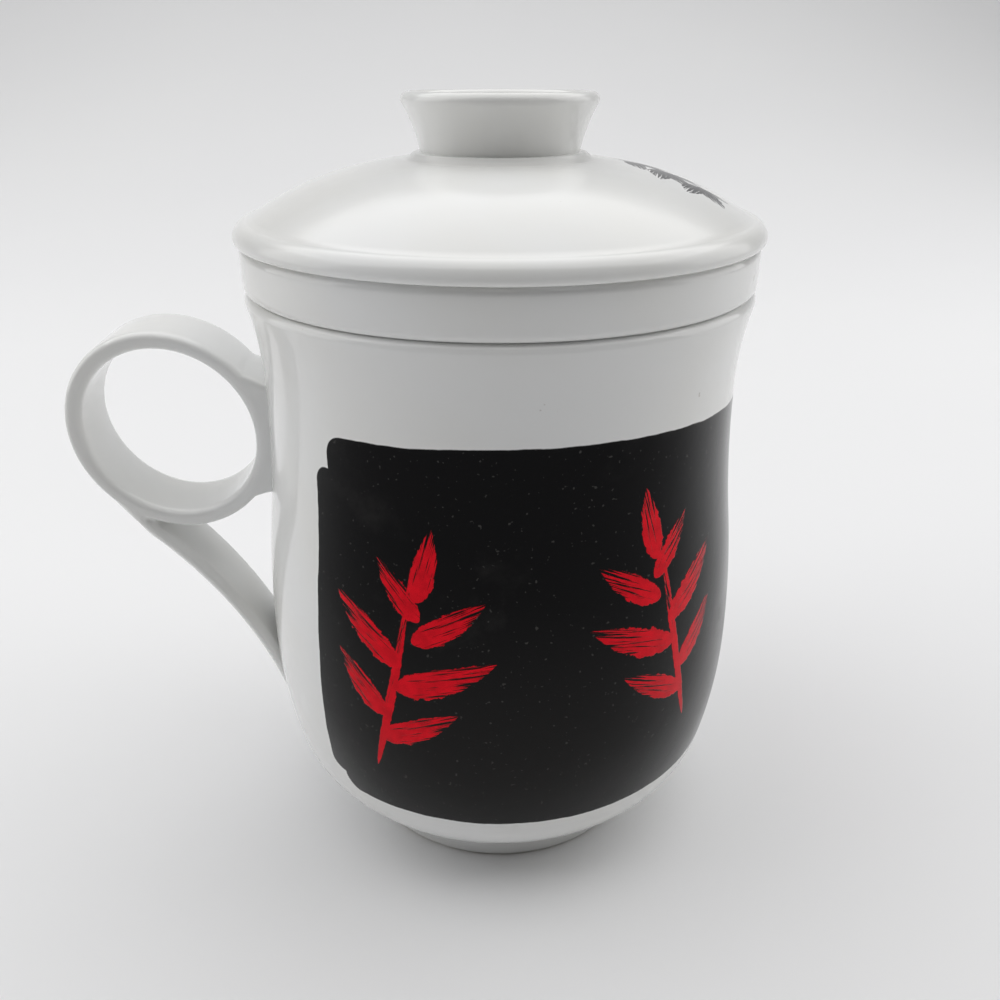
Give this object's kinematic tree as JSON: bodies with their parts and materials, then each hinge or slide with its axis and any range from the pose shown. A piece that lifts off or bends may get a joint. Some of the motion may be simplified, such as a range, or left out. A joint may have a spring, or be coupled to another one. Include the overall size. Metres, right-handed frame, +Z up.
{
  "type": "lidded tea mug with infuser",
  "caption": "Tall porcelain tea mug with a ring handle, a lift-out perforated infuser with a visible collar, and a domed lid with a hollow ring knob.",
  "frame": {"origin": "centre of the foot ring's underside, on the surface that the mug stands on", "axes": "+Z up along the axis of the mug, the handle on the -X side"},
  "size_m": [0.1138, 0.0846, 0.128],
  "materials": {
    "porcelain_mug": null,
    "porcelain_handle": null,
    "porcelain_infuser": null,
    "porcelain_lid": null,
    "porcelain_knob": null
  },
  "bodies": {
    "mug": {"mug_body": "porcelain_mug", "handle": "porcelain_handle"},
    "infuser_body": {"infuser": "porcelain_infuser"},
    "lid_body": {"lid": "porcelain_lid", "lid_knob": "porcelain_knob"}
  },
  "joints": [
    {"name": "infuser_lift", "type": "slide", "parent": "mug", "child": "infuser_body", "axis": [0, 0, 1], "range_m": [0, 0.07]},
    {"name": "lid_lift", "type": "slide", "parent": "infuser_body", "child": "lid_body", "axis": [0, 0, 1], "range_m": [0, 0.06]}
  ]
}
